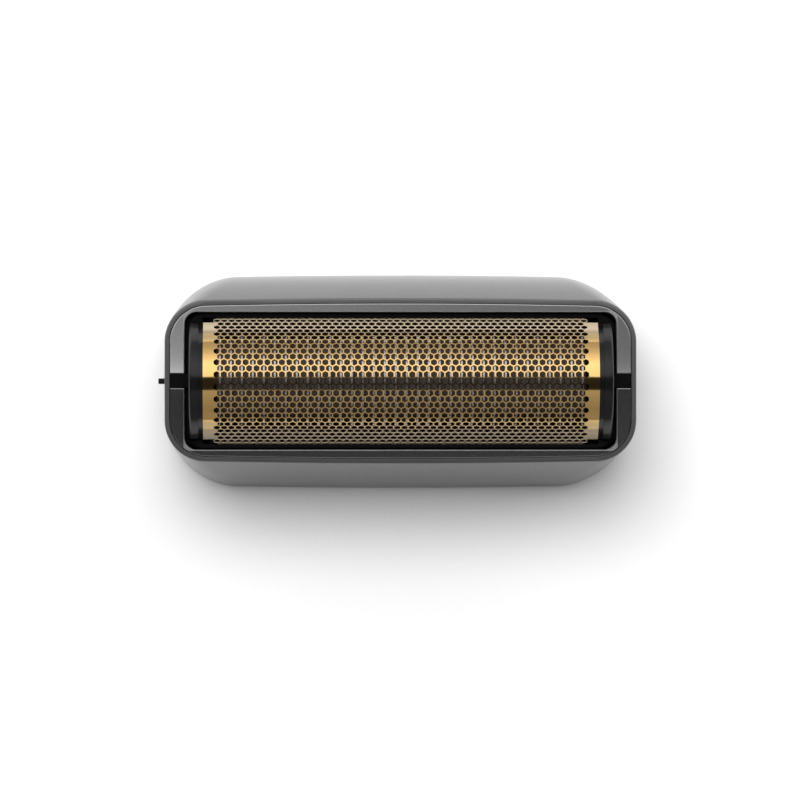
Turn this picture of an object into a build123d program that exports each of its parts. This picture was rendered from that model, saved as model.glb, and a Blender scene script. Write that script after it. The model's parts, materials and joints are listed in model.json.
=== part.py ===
from build123d import *

import os
from math import cos, pi, radians, sin, sqrt

# Head of a foil shaver, in millimetres: X runs along the foil, Y across it, Z up.
# It stands on its bottom rim at Z = 0, and the handle goes in from below.

# Casing
head_height = 26.0
rim_length = 60.0
rim_width = 21.0
rim_corner = 5.2
base_flare_x = 0.2
base_flare_y = 3.45
base_corner = 9.6
side_crown = 1100.0
taper_power = 1.6
shell_wall = 1.4
rim_round = 0.2
base_round = 0.3

# Bezel, let into the top of the casing
rim_land_x = 0.65
rim_land_y = 0.65
ring_corner = 4.55
ring_thickness = 1.8
ring_clearance = 0.05
ring_band_x = 1.875
ring_band_y = 1.1
ring_opening_corner = 1.5
ring_outer_bevel = 0.15
ring_roll_width = 0.5
ring_roll_depth = 0.15
notch_width = 1.85
saddle_length = 0.75
saddle_wall = 0.8
saddle_floor = 0.6
saddle_tab_gap = 0.4

# Foil: a crest arc, a straight flank and a shoulder that turns down into the frame
foil_rise = 5.4
foil_crest_radius = 6.9
foil_flank_angle = 56.0
foil_shoulder_radius = 2.6
foil_thickness = 0.15
foil_foot_inset = 1.3
foil_margin = 1.45
hole_columns = 15
hole_rows = 8
foil_web = 0.5
foil_punch_reach = 0.6

# Floating frame under the foil
float_travel = 1.2
frame_height = 7.0
frame_drop = 1.0
frame_end_wall = 0.3
frame_rail = 0.5
frame_guide_gap_x = 0.275
frame_guide_gap_y = 0.2
frame_guide_corner = 2.4
frame_skirt_gap_x = 0.55
frame_skirt_gap_y = 0.3
fit_gap = 0.05
tab_width = 1.75
tab_drop = 0.1
tab_end_gap = 0.05
guide_rib_width = 0.4
guide_rib_depth = 0.2
guide_rib_spread = 8.2
stake_count = 4
stake_pitch = 13.0
stake_radius = 0.5
stake_head_radius = 0.8
stake_head_height = 0.2

# Strips that hold the feet of the foil
clamp_thickness = 0.8
clamp_height = 3.0
clamp_corner = 1.0
clamp_end_gap = 1.2
clamp_stake_rise = 1.8

# Slabs at the ends of the arch
cap_side_inset = 0.65
cap_proud = 0.2
cap_thickness = 1.15
cap_foil_gap = 0.6
cap_ledge_overlap = 0.35
cap_foot_depth = 3.0
cap_edge_round = 0.35

# Cutter
stroke = 1.0
cutter_clearance = 0.12
cutter_end_gap = 0.35
blade_pitch = 1.39
blade_thickness = 0.25
blade_half_width = 5.6
blade_foot_half_width = 4.4
blade_shoulder_rise = 1.5
blade_foot_drop = 1.3
blade_slot_clearance = 0.03
carrier_width = 10.5
carrier_base_height = 3.7
carrier_corner = 1.0
carrier_core_radius = 5.1
carrier_core_sides = 16

# Inner plate that carries the works
socket_depth = 6.5
chassis_thickness = 2.0
chassis_clearance = 0.15
rib_height = 1.5
rib_thickness = 1.0
rib_offset = 7.2
rib_end_gap = 3.5
hook_wall_gap = 2.2
hook_arm_thickness = 1.0
hook_arm_width = 6.0
hook_bottom = 0.8
hook_nose_depth = 0.8
hook_nose_height = 1.8

# Screws up through the plate into the casing
boss_inset_x = 6.3
boss_inset_y = 4.05
boss_radius = 2.0
boss_height = 7.0
boss_rib_thickness = 1.2
screw_radius = 0.8
screw_length = 6.0
screw_hole_clearance = 0.04
screw_head_radius = 1.6
screw_head_height = 0.9
screw_head_bevel = 0.225
counterbore_clearance = 0.15
counterbore_depth = 1.1
driver_slot_width = 0.35
driver_slot_length = 1.9
driver_slot_depth = 0.45

# Rubber ring under the plate
gasket_inset_x = 1.5
gasket_outset_y = 0.2
gasket_corner = 3.0
gasket_band = 1.2
gasket_groove_depth = 0.7
gasket_proud = 0.5

# Moving beam that drives the cutter
bridge_end = 1.1
bridge_width = 9.0
bridge_lift = 3.5
bridge_thickness = 2.5
bridge_corner = 1.0
tongue_length = 2.0
tongue_width = 5.0
tongue_reach = 2.1
tongue_gap = 0.05
tongue_side_gap = 0.4
tongue_end_gap = 0.2
drive_boss_radius = 3.0
drive_boss_recess = 0.9
drive_slot_margin = 0.4
insert_radius = 2.2
insert_length = 4.0
insert_slot_length = 3.2
insert_slot_width = 1.6
insert_slot_depth = 3.2

# Flat springs between the plate and the beam
leaf_inset = 3.0
leaf_thickness = 0.2
leaf_width = 7.0
leaf_slot_gap = 0.03
leaf_window_width = 3.6
leaf_post_length = 2.8
leaf_post_width = 9.0
leaf_post_height = 2.3
leaf_grip = 1.95

# Coils
cutter_spring_inset = 4.5
cutter_spring_radius = 1.05
cutter_spring_wire = 0.35
cutter_spring_turns = 4
cutter_socket_depth = 3.0
float_spring_outset = 1.6
float_spring_inset = 2.55
float_spring_radius = 0.75
float_spring_wire = 0.28
float_spring_turns = 5
float_socket_depth = 3.2
release_spring_radius = 0.8
release_spring_wire = 0.28
release_spring_turns = 3
release_spring_lift = 0.8
stud_gap = 0.1
socket_gap = 0.15
stud_height = 2.0
release_stud_height = 0.5
coil_end_gap = 0.03

# Release button in the left end wall
press_travel = 0.8
button_lift = 0.3
button_width = 6.6
button_height = 4.8
button_corner = 1.6
button_hole_gap = 0.12
button_proud = 0.1
grip_width = 0.72
grip_height = 4.0
grip_proud = 0.8
button_flange_margin = 0.7
button_flange_thickness = 0.8
button_wall_gap = 0.08
latch_arm_width = 4.0
latch_web_height = 1.0
latch_slot_gap = 0.2
release_post_gap = 0.4
release_post_thickness = 0.8
release_post_width = 4.0

# Heights that follow from the sizes above
chassis_bottom = socket_depth
chassis_top = chassis_bottom + chassis_thickness
ring_seat = head_height - ring_thickness
saddle_bottom = ring_seat - float_travel - saddle_tab_gap - saddle_floor
frame_top = head_height - frame_drop
frame_bottom = frame_top - frame_height
foil_crest_z = head_height + foil_rise
foil_centre_z = foil_crest_z - foil_crest_radius
cap_foot_z = frame_top - cap_foot_depth
blade_shoulder_z = foil_centre_z + blade_shoulder_rise
blade_foot_z = foil_centre_z - blade_foot_drop
carrier_bottom = blade_foot_z - carrier_base_height
tongue_top = carrier_bottom + tongue_reach
bridge_bottom = chassis_top + bridge_lift
bridge_top = bridge_bottom + bridge_thickness
drive_boss_bottom = chassis_bottom + drive_boss_recess
button_z = chassis_top + button_lift + button_height / 2
release_spring_z = button_z + release_spring_lift

# Lengths and widths that follow, from the rim inwards
ring_length = rim_length - 2 * rim_land_x
ring_width = rim_width - 2 * rim_land_y
ring_opening_length = ring_length - 2 * ring_band_x
ring_opening_width = ring_width - 2 * ring_band_y
guide_length = ring_opening_length - 2 * frame_guide_gap_x
guide_width = ring_opening_width - 2 * frame_guide_gap_y
slab_outer_x = guide_length / 2 - frame_end_wall - fit_gap
slab_inner_x = slab_outer_x - cap_thickness
foil_length = 2 * (slab_inner_x - cap_foil_gap)
foil_half_width = guide_width / 2 - frame_rail
foil_foot_z = frame_bottom + foil_foot_inset
stake_z = foil_foot_z + clamp_stake_rise
cap_half_width = foil_half_width - cap_side_inset
ledge_x = foil_length / 2 - cap_ledge_overlap
clamp_length = foil_length - 2 * clamp_end_gap
clamp_inner_y = foil_half_width - foil_thickness - clamp_thickness
cutter_radius = foil_crest_radius - foil_thickness - cutter_clearance
carrier_length = 2 * (ledge_x - stroke - cutter_end_gap)
blade_count = int((carrier_length - blade_thickness) / blade_pitch) + 1
float_spring_x = foil_length / 2 + float_spring_outset
float_spring_y = foil_half_width - float_spring_inset
flank = radians(foil_flank_angle)

# Lengths and widths that follow from the base, whose end walls the works are set against
base_length = rim_length + 2 * base_flare_x
base_width = rim_width + 2 * base_flare_y
boss_x = base_length / 2 - shell_wall - boss_inset_x
boss_y = base_width / 2 - shell_wall - boss_inset_y
leaf_x = boss_x - leaf_inset
cutter_spring_x = leaf_x - cutter_spring_inset
bridge_length = 2 * (leaf_x + bridge_end)
rib_length = 2 * (leaf_x - rib_end_gap)
gasket_length = 2 * (boss_x - gasket_inset_x)
gasket_width = 2 * (boss_y + gasket_outset_y)
hook_arm_x = base_length / 2 - shell_wall - hook_wall_gap - hook_arm_thickness
hook_reach = hook_arm_x + hook_arm_thickness + hook_nose_depth
release_post_x = hook_arm_x - press_travel - latch_slot_gap - release_post_gap


def flare(z):
    # 1 at the base and 0 at the rim, turning in more towards the rim
    return 1 - (z / head_height) ** taper_power


def between(rim_value, base_value, z):
    return rim_value + (base_value - rim_value) * flare(z)


def bowed(length, width, corner):
    # a rounded rectangle whose long sides bow out slightly
    sag = side_crown - sqrt(side_crown**2 - length**2 / 4)
    with BuildSketch() as outline:
        with BuildLine():
            back = ThreePointArc(
                (-length / 2, width / 2 - sag), (0, width / 2), (length / 2, width / 2 - sag)
            )
            front = ThreePointArc(
                (length / 2, sag - width / 2), (0, -width / 2), (-length / 2, sag - width / 2)
            )
            Line(back @ 1, front @ 0)
            Line(front @ 1, back @ 0)
        make_face()
        fillet(outline.vertices(), corner)
    return outline.sketch


def case_section(z, inset):
    # the casing's outline at a height, drawn in by a wall or a clearance
    return bowed(
        between(rim_length, base_length, z) - 2 * inset,
        between(rim_width, base_width, z) - 2 * inset,
        between(rim_corner, base_corner, z) - inset,
    )


def foil_spot(distance):
    # the place and lean of the foil's outer face, measured round the sheet from its crest
    side = 1 if distance >= 0 else -1
    run = abs(distance)
    arc_run = foil_crest_radius * flank
    flank_run = (shoulder_start_y - foil_crest_radius * sin(flank)) / cos(flank)
    if run <= arc_run:
        lean = run / foil_crest_radius
        y = foil_crest_radius * sin(lean)
        z = foil_centre_z + foil_crest_radius * cos(lean)
    elif run <= arc_run + flank_run:
        lean = flank
        y = foil_crest_radius * sin(flank) + (run - arc_run) * cos(flank)
        z = foil_centre_z + foil_crest_radius * cos(flank) - (run - arc_run) * sin(flank)
    else:
        lean = flank + (run - arc_run - flank_run) / foil_shoulder_radius
        y = foil_half_width - foil_shoulder_radius * (1 - sin(lean))
        z = shoulder_end_z + foil_shoulder_radius * cos(lean)
    return side * y, z, side * lean


shoulder_start_y = foil_half_width - foil_shoulder_radius * (1 - sin(flank))
shoulder_start_z = (
    foil_centre_z
    + foil_crest_radius * cos(flank)
    - (shoulder_start_y - foil_crest_radius * sin(flank)) * sin(flank) / cos(flank)
)
shoulder_end_z = shoulder_start_z - foil_shoulder_radius * cos(flank)


def arch(proud, half_width, bottom):
    # the foil's section grown by an amount, cut off at a half width and closed along the bottom
    radius = foil_crest_radius + proud
    arc_y = radius * sin(flank)
    arc_z = foil_centre_z + radius * cos(flank)
    side_z = arc_z - (half_width - arc_y) * sin(flank) / cos(flank)
    with BuildSketch() as outline:
        with BuildLine():
            ThreePointArc((-arc_y, arc_z), (0, foil_centre_z + radius), (arc_y, arc_z))
            Polyline(
                (arc_y, arc_z),
                (half_width, side_z),
                (half_width, bottom),
                (-half_width, bottom),
                (-half_width, side_z),
                (-arc_y, arc_z),
            )
        make_face()
    return outline.sketch


def coil(start, length, radius, wire, turns, direction=(0, 0, 1)):
    # a wound spring between two seats, its end turns clear of them by a hair
    lead_in = wire / 2 + coil_end_gap
    axis = Vector(*direction)
    first = Vector(*start) + axis * lead_in
    height = length - 2 * lead_in
    with BuildPart() as spring:
        with BuildLine() as winding:
            Helix(height / turns, height, radius, center=first, direction=axis)
        wire_start = winding.line @ 0
        with BuildSketch(Plane(wire_start, x_dir=wire_start - first, z_dir=winding.line % 0)):
            Rectangle(wire, wire)
        sweep(path=winding.line, is_frenet=True)
    return spring.part


os.makedirs("parts", exist_ok=True)

# Space inside the casing, less the four screw bosses and the ribs that tie them to its walls
cavity_heights = (0, ring_seat / 3, ring_seat * 2 / 3, ring_seat)
with BuildPart() as cavity:
    for z in cavity_heights:
        with BuildSketch(Plane.XY.offset(z)):
            add(case_section(z, shell_wall))
    loft()
    with BuildSketch(Plane.XY.offset(chassis_top)):
        with GridLocations(2 * boss_x, 2 * boss_y, 2, 2):
            Circle(boss_radius)
        with GridLocations(2 * boss_x, 2 * (boss_y + base_width / 2), 2, 2):
            Rectangle(boss_rib_thickness, base_width)
    extrude(amount=boss_height, mode=Mode.SUBTRACT)

# Casing: one moulding, open at the bottom for the handle
case_heights = (0, head_height / 3, head_height * 2 / 3, head_height)
with BuildPart() as head_shell:
    for z in case_heights:
        with BuildSketch(Plane.XY.offset(z)):
            add(case_section(z, 0))
    loft()
    fillet(head_shell.faces().sort_by(Axis.Z)[-1].edges(), rim_round)
    fillet(head_shell.faces().sort_by(Axis.Z)[0].edges(), base_round)
    add(cavity.part, mode=Mode.SUBTRACT)
    with BuildSketch(Plane.XY.offset(ring_seat)):
        add(
            bowed(
                ring_length + 2 * ring_clearance,
                ring_width + 2 * ring_clearance,
                ring_corner + ring_clearance,
            )
        )
    extrude(amount=ring_thickness, mode=Mode.SUBTRACT)
    with BuildSketch(Plane.XY.offset(saddle_bottom - ring_clearance)):
        Rectangle(
            ring_length + 2 * ring_clearance, notch_width + 2 * saddle_wall + 2 * ring_clearance
        )
    extrude(amount=ring_seat - saddle_bottom + ring_clearance, mode=Mode.SUBTRACT)
    with BuildSketch(Plane.YZ.offset(-base_length / 2 - grip_proud)) as button_hole:
        with Locations((0, button_z)):
            RectangleRounded(
                button_width + 2 * button_hole_gap,
                button_height + 2 * button_hole_gap,
                button_corner + button_hole_gap,
            )
    extrude(amount=grip_proud + 2 * shell_wall, mode=Mode.SUBTRACT)
    with BuildSketch(Plane.XY.offset(chassis_top)):
        with GridLocations(2 * boss_x, 2 * boss_y, 2, 2):
            Circle(screw_radius + screw_hole_clearance)
    extrude(amount=screw_length, mode=Mode.SUBTRACT)
head_shell.part.label = "head_shell"
export_step(head_shell.part, "parts/head_shell.step")

# Bezel
with BuildPart() as trim_ring:
    with BuildSketch(Plane.XY.offset(ring_seat)):
        add(bowed(ring_length, ring_width, ring_corner))
    extrude(amount=ring_thickness)
    chamfer(trim_ring.faces().sort_by(Axis.Z)[-1].edges(), ring_outer_bevel)
    with BuildSketch(Plane.XY.offset(ring_seat)):
        RectangleRounded(ring_opening_length, ring_opening_width, ring_opening_corner)
    extrude(amount=ring_thickness, mode=Mode.SUBTRACT)
    for z, grown in ((head_height, ring_roll_width), (head_height - ring_roll_depth, 0)):
        with BuildSketch(Plane.XY.offset(z)):
            RectangleRounded(
                ring_opening_length + 2 * grown,
                ring_opening_width + 2 * grown,
                ring_opening_corner + grown,
            )
    loft(mode=Mode.SUBTRACT)
    with BuildSketch(Plane.XY.offset(saddle_bottom)):
        with GridLocations(ring_length - saddle_length, 0, 2, 1):
            Rectangle(saddle_length, notch_width + 2 * saddle_wall)
    extrude(amount=ring_seat - saddle_bottom)
    with BuildSketch(Plane.XY.offset(saddle_bottom + saddle_floor)):
        Rectangle(ring_length, notch_width)
    extrude(amount=head_height - saddle_bottom, mode=Mode.SUBTRACT)
trim_ring.part.label = "trim_ring"
export_step(trim_ring.part, "parts/trim_ring.step")

# Perforated foil: one bent sheet
with BuildPart() as foil:
    with BuildSketch(Plane.YZ.offset(-foil_length / 2)):
        with BuildLine():
            crest_end_y = foil_crest_radius * sin(flank)
            crest_end_z = foil_centre_z + foil_crest_radius * cos(flank)
            mid_lean = (flank + pi / 2) / 2
            shoulder_centre_y = foil_half_width - foil_shoulder_radius
            shoulder_mid = (
                shoulder_centre_y + foil_shoulder_radius * sin(mid_lean),
                shoulder_end_z + foil_shoulder_radius * cos(mid_lean),
            )
            ThreePointArc(
                (-crest_end_y, crest_end_z), (0, foil_crest_z), (crest_end_y, crest_end_z)
            )
            for side in (-1, 1):
                Line((side * crest_end_y, crest_end_z), (side * shoulder_start_y, shoulder_start_z))
                ThreePointArc(
                    (side * shoulder_start_y, shoulder_start_z),
                    (side * shoulder_mid[0], shoulder_mid[1]),
                    (side * foil_half_width, shoulder_end_z),
                )
                Line((side * foil_half_width, shoulder_end_z), (side * foil_half_width, foil_foot_z))
            Line((-foil_half_width, foil_foot_z), (foil_half_width, foil_foot_z))
        make_face()
        foil_inside = (
            foil_crest_radius - foil_thickness,
            foil_shoulder_radius - foil_thickness,
            foil_half_width - foil_thickness,
        )
        with BuildLine():
            crest_in, shoulder_in, half_in = foil_inside
            in_end_y = crest_in * sin(flank)
            in_end_z = foil_centre_z + crest_in * cos(flank)
            in_start_y = shoulder_centre_y + shoulder_in * sin(flank)
            in_start_z = shoulder_end_z + shoulder_in * cos(flank)
            ThreePointArc(
                (-in_end_y, in_end_z), (0, foil_centre_z + crest_in), (in_end_y, in_end_z)
            )
            for side in (-1, 1):
                Line((side * in_end_y, in_end_z), (side * in_start_y, in_start_z))
                ThreePointArc(
                    (side * in_start_y, in_start_z),
                    (
                        side * (shoulder_centre_y + shoulder_in * sin(mid_lean)),
                        shoulder_end_z + shoulder_in * cos(mid_lean),
                    ),
                    (side * half_in, shoulder_end_z),
                )
                Line((side * half_in, shoulder_end_z), (side * half_in, foil_foot_z))
            Line((-half_in, foil_foot_z), (half_in, foil_foot_z))
        make_face(mode=Mode.SUBTRACT)
    extrude(amount=foil_length)
    hole_pitch = (foil_length - 2 * foil_margin) / (hole_columns + 0.5)
    row_pitch = hole_pitch * sqrt(3) / 2
    hole_radius = (hole_pitch - foil_web) / sqrt(3)
    for row in range(hole_rows):
        y, z, lean = foil_spot((row - (hole_rows - 1) / 2) * row_pitch)
        stagger = hole_pitch / 4 * (1 if row % 2 else -1)
        outward = (0, sin(lean), cos(lean))
        with BuildSketch(Plane(origin=(stagger, y, z), x_dir=(1, 0, 0), z_dir=outward)):
            with GridLocations(hole_pitch, 0, hole_columns, 1):
                RegularPolygon(hole_radius, 6, rotation=90)
        extrude(amount=foil_punch_reach, both=True, mode=Mode.SUBTRACT)
    with BuildSketch(Plane.XZ):
        with Locations((0, stake_z)):
            with GridLocations(stake_pitch, 0, stake_count, 1):
                Circle(stake_radius + fit_gap)
    extrude(amount=2 * foil_half_width, both=True, mode=Mode.SUBTRACT)
foil.part.label = "foil"
export_step(foil.part, "parts/foil.step")

# Floating frame: a skirt that stops under the bezel and a guide that rides in its opening
skirt_length = between(rim_length, base_length, ring_seat) - 2 * (shell_wall + frame_skirt_gap_x)
skirt_width = between(rim_width, base_width, ring_seat) - 2 * (shell_wall + frame_skirt_gap_y)
skirt_corner = rim_corner - shell_wall
with BuildPart() as foil_frame:
    with BuildSketch(Plane.XY.offset(frame_bottom)):
        add(bowed(skirt_length, skirt_width, skirt_corner))
    extrude(amount=ring_seat - frame_bottom)
    with BuildSketch(Plane.XY.offset(ring_seat)):
        RectangleRounded(guide_length, guide_width, frame_guide_corner)
        with GridLocations(guide_length, guide_rib_spread, 2, 2):
            Rectangle(2 * guide_rib_depth, guide_rib_width)
    extrude(amount=frame_top - ring_seat)
    with BuildSketch(Plane.XY.offset(frame_bottom)):
        Rectangle(foil_length + 2 * fit_gap, 2 * foil_half_width)
    extrude(amount=frame_top - frame_bottom, mode=Mode.SUBTRACT)
    with BuildSketch(Plane.XY.offset(cap_foot_z)):
        Rectangle(2 * (slab_outer_x + fit_gap), 2 * (cap_half_width + fit_gap))
    extrude(amount=frame_top - cap_foot_z, mode=Mode.SUBTRACT)
    tab_length = ring_length / 2 - tab_end_gap - slab_outer_x - fit_gap
    with BuildSketch(Plane.XY.offset(ring_seat)):
        with GridLocations(ring_length - 2 * tab_end_gap - tab_length, 0, 2, 1):
            Rectangle(tab_length, tab_width)
    extrude(amount=ring_thickness - tab_drop)
    with BuildSketch(Plane.XY.offset(frame_bottom)):
        with GridLocations(2 * float_spring_x, 2 * float_spring_y, 2, 2):
            Circle(float_spring_radius + float_spring_wire / 2 + socket_gap)
    extrude(amount=float_socket_depth, mode=Mode.SUBTRACT)
    for side in (-1, 1):
        stake_length = foil_thickness + clamp_thickness + stake_head_height
        with BuildSketch(Plane.XZ.offset(-side * foil_half_width)):
            with Locations((0, stake_z)):
                with GridLocations(stake_pitch, 0, stake_count, 1):
                    Circle(stake_radius)
        extrude(amount=side * stake_length)
        with BuildSketch(Plane.XZ.offset(-side * clamp_inner_y)):
            with Locations((0, stake_z)):
                with GridLocations(stake_pitch, 0, stake_count, 1):
                    Circle(stake_head_radius)
        extrude(amount=side * stake_head_height)
foil_frame.part.label = "foil_frame"
export_step(foil_frame.part, "parts/foil_frame.step")

# Strips that press the feet of the foil against the frame
for side, name in ((-1, "foil_clamp_front"), (1, "foil_clamp_back")):
    with BuildPart() as foil_clamp:
        with BuildSketch(Plane.XZ.offset(-side * clamp_inner_y)):
            with Locations((0, stake_z)):
                RectangleRounded(clamp_length, clamp_height, clamp_corner)
                with GridLocations(stake_pitch, 0, stake_count, 1):
                    Circle(stake_radius + fit_gap, mode=Mode.SUBTRACT)
        extrude(amount=-side * clamp_thickness)
    foil_clamp.part.label = name
    export_step(foil_clamp.part, f"parts/{name}.step")

# Slabs that close the arch: a foot in the frame and a step under each end of the foil
for side, name in ((-1, "foil_end_cap_left"), (1, "foil_end_cap_right")):
    with BuildPart() as foil_end_cap:
        with BuildSketch(Plane.YZ.offset(side * slab_inner_x)):
            add(arch(cap_proud, cap_half_width, cap_foot_z))
        extrude(amount=side * cap_thickness)
        outer_face = foil_end_cap.faces().sort_by(Axis.X)[-1 if side > 0 else 0]
        fillet(outer_face.edges().sort_by(Axis.Z)[-3:], cap_edge_round)
        with BuildSketch(Plane.YZ.offset(side * ledge_x)):
            add(arch(-foil_thickness - fit_gap, cap_half_width, cap_foot_z))
        extrude(amount=side * (slab_inner_x - ledge_x))
    foil_end_cap.part.label = name
    export_step(foil_end_cap.part, f"parts/{name}.step")

# Comb that the blades stand in, with a slot for the driving tongue and two spring sockets
with BuildPart() as cutter_carrier:
    with BuildSketch(Plane.XY.offset(carrier_bottom)):
        RectangleRounded(carrier_length, carrier_width, carrier_corner)
    extrude(amount=blade_foot_z - carrier_bottom)
    with BuildSketch(Plane.YZ.offset(-carrier_length / 2)):
        with Locations((0, foil_centre_z)):
            RegularPolygon(carrier_core_radius, carrier_core_sides, rotation=180 / carrier_core_sides)
        with Locations((0, blade_foot_z)):
            Rectangle(
                2 * carrier_core_radius,
                4 * carrier_core_radius,
                align=(Align.CENTER, Align.MAX),
                mode=Mode.SUBTRACT,
            )
    extrude(amount=carrier_length)
    with BuildSketch(Plane.XY.offset(blade_foot_z)):
        with GridLocations(blade_pitch, 0, blade_count, 1):
            Rectangle(blade_thickness + 2 * blade_slot_clearance, 2 * carrier_width)
    extrude(amount=2 * carrier_core_radius, mode=Mode.SUBTRACT)
    with BuildSketch(Plane.XY.offset(carrier_bottom)):
        Rectangle(tongue_length + 2 * tongue_gap, tongue_width + 2 * tongue_side_gap)
    extrude(amount=blade_foot_z - tongue_end_gap - carrier_bottom, mode=Mode.SUBTRACT)
    with BuildSketch(Plane.XY.offset(carrier_bottom)):
        with GridLocations(2 * cutter_spring_x, 0, 2, 1):
            Circle(cutter_spring_radius + cutter_spring_wire / 2 + socket_gap)
    extrude(amount=cutter_socket_depth, mode=Mode.SUBTRACT)
cutter_carrier.part.label = "cutter_carrier"
export_step(cutter_carrier.part, "parts/cutter_carrier.step")

# Blades: thin plates ground to an arc that runs just under the foil
with BuildSketch() as blade_outline:
    with BuildLine():
        blade_end_z = foil_centre_z + sqrt(cutter_radius**2 - blade_half_width**2)
        ThreePointArc(
            (-blade_half_width, blade_end_z),
            (0, foil_centre_z + cutter_radius),
            (blade_half_width, blade_end_z),
        )
        Polyline(
            (blade_half_width, blade_end_z),
            (blade_half_width, blade_shoulder_z),
            (blade_foot_half_width, blade_shoulder_z),
            (blade_foot_half_width, blade_foot_z),
            (-blade_foot_half_width, blade_foot_z),
            (-blade_foot_half_width, blade_shoulder_z),
            (-blade_half_width, blade_shoulder_z),
            (-blade_half_width, blade_end_z),
        )
    make_face()
with BuildPart() as cutter_blades:
    for blade in range(blade_count):
        blade_x = (blade - (blade_count - 1) / 2) * blade_pitch
        with BuildSketch(Plane.YZ.offset(blade_x)):
            add(blade_outline.sketch)
        extrude(amount=blade_thickness / 2, both=True)
cutter_blades.part.label = "cutter_blades"
export_step(cutter_blades.part, "parts/cutter_blades.step")

# Inner plate
latch_slot_x = (hook_arm_x - press_travel - latch_slot_gap, hook_arm_x + hook_arm_thickness + latch_slot_gap)
with BuildPart() as chassis:
    with BuildSketch(Plane.XY.offset(chassis_bottom)):
        add(case_section(chassis_top, shell_wall + chassis_clearance))
    extrude(amount=chassis_thickness)
    with BuildSketch(Plane.XY.offset(chassis_top)):
        with GridLocations(0, 2 * rib_offset, 1, 2):
            Rectangle(rib_length, rib_thickness)
    extrude(amount=rib_height)
    with BuildSketch(Plane.XY.offset(chassis_top)):
        with GridLocations(2 * leaf_x, 0, 2, 1):
            Rectangle(leaf_post_length, leaf_post_width)
            Rectangle(
                leaf_thickness + 2 * leaf_slot_gap, leaf_width + 2 * fit_gap, mode=Mode.SUBTRACT
            )
    extrude(amount=leaf_post_height)
    with BuildSketch(Plane.XY.offset(chassis_top)):
        with GridLocations(2 * float_spring_x, 2 * float_spring_y, 2, 2):
            Circle(float_spring_radius - float_spring_wire / 2 - stud_gap)
    extrude(amount=stud_height)
    with BuildSketch(Plane.YZ.offset(-release_post_x)):
        with Locations((0, chassis_top)):
            Rectangle(
                release_post_width,
                button_z + button_height / 2 - chassis_top,
                align=(Align.CENTER, Align.MIN),
            )
    extrude(amount=release_post_thickness)
    with BuildSketch(Plane.XZ):
        with BuildLine():
            Polyline(
                (hook_arm_x, chassis_bottom),
                (hook_arm_x, hook_bottom),
                (hook_arm_x + hook_arm_thickness, hook_bottom),
                (hook_reach, hook_bottom + hook_nose_height),
                (hook_arm_x + hook_arm_thickness, hook_bottom + hook_nose_height),
                (hook_arm_x + hook_arm_thickness, chassis_bottom),
                close=True,
            )
        make_face()
    extrude(amount=hook_arm_width / 2, both=True)
    with BuildSketch(Plane.XY.offset(chassis_bottom)):
        slot_half_length = drive_boss_radius + stroke + drive_slot_margin
        slot_half_width = drive_boss_radius + drive_slot_margin
        SlotOverall(2 * slot_half_length, 2 * slot_half_width)
        with Locations((-(latch_slot_x[0] + latch_slot_x[1]) / 2, 0)):
            Rectangle(latch_slot_x[1] - latch_slot_x[0], latch_arm_width + 2 * latch_slot_gap)
        with GridLocations(2 * boss_x, 2 * boss_y, 2, 2):
            Circle(screw_radius + screw_hole_clearance)
    extrude(amount=chassis_thickness, mode=Mode.SUBTRACT)
    with BuildSketch(Plane.XY.offset(chassis_bottom)):
        with GridLocations(2 * boss_x, 2 * boss_y, 2, 2):
            Circle(screw_head_radius + counterbore_clearance)
    extrude(amount=counterbore_depth, mode=Mode.SUBTRACT)
    with BuildSketch(Plane.XY.offset(chassis_bottom)):
        RectangleRounded(gasket_length + 2 * fit_gap, gasket_width + 2 * fit_gap, gasket_corner + fit_gap)
        RectangleRounded(
            gasket_length - 2 * gasket_band - 2 * fit_gap,
            gasket_width - 2 * gasket_band - 2 * fit_gap,
            gasket_corner - gasket_band - fit_gap,
            mode=Mode.SUBTRACT,
        )
    extrude(amount=gasket_groove_depth, mode=Mode.SUBTRACT)
chassis.part.label = "chassis"
export_step(chassis.part, "parts/chassis.step")

# Screws, with their heads sunk in the underside of the plate
screw_seat = chassis_bottom + counterbore_depth
with BuildPart() as chassis_screws:
    with BuildSketch(Plane.XY.offset(screw_seat - screw_head_height)):
        with GridLocations(2 * boss_x, 2 * boss_y, 2, 2):
            Circle(screw_head_radius)
    extrude(amount=screw_head_height)
    chamfer(chassis_screws.faces().group_by(Axis.Z)[0].edges(), screw_head_bevel)
    with BuildSketch(Plane.XY.offset(screw_seat)):
        with GridLocations(2 * boss_x, 2 * boss_y, 2, 2):
            Circle(screw_radius)
    extrude(amount=screw_length)
    with BuildSketch(Plane.XY.offset(screw_seat - screw_head_height)):
        with GridLocations(2 * boss_x, 2 * boss_y, 2, 2):
            Rectangle(driver_slot_length, driver_slot_width)
            Rectangle(driver_slot_width, driver_slot_length)
    extrude(amount=driver_slot_depth, mode=Mode.SUBTRACT)
chassis_screws.part.label = "chassis_screws"
export_step(chassis_screws.part, "parts/chassis_screws.step")

# Rubber ring
with BuildPart() as seal_gasket:
    with BuildSketch(Plane.XY.offset(chassis_bottom - gasket_proud)):
        RectangleRounded(gasket_length, gasket_width, gasket_corner)
        RectangleRounded(
            gasket_length - 2 * gasket_band,
            gasket_width - 2 * gasket_band,
            gasket_corner - gasket_band,
            mode=Mode.SUBTRACT,
        )
    extrude(amount=gasket_proud + gasket_groove_depth)
    chamfer(seal_gasket.faces().sort_by(Axis.Z)[0].edges(), gasket_proud / 2)
seal_gasket.part.label = "seal_gasket"
export_step(seal_gasket.part, "parts/seal_gasket.step")

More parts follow.
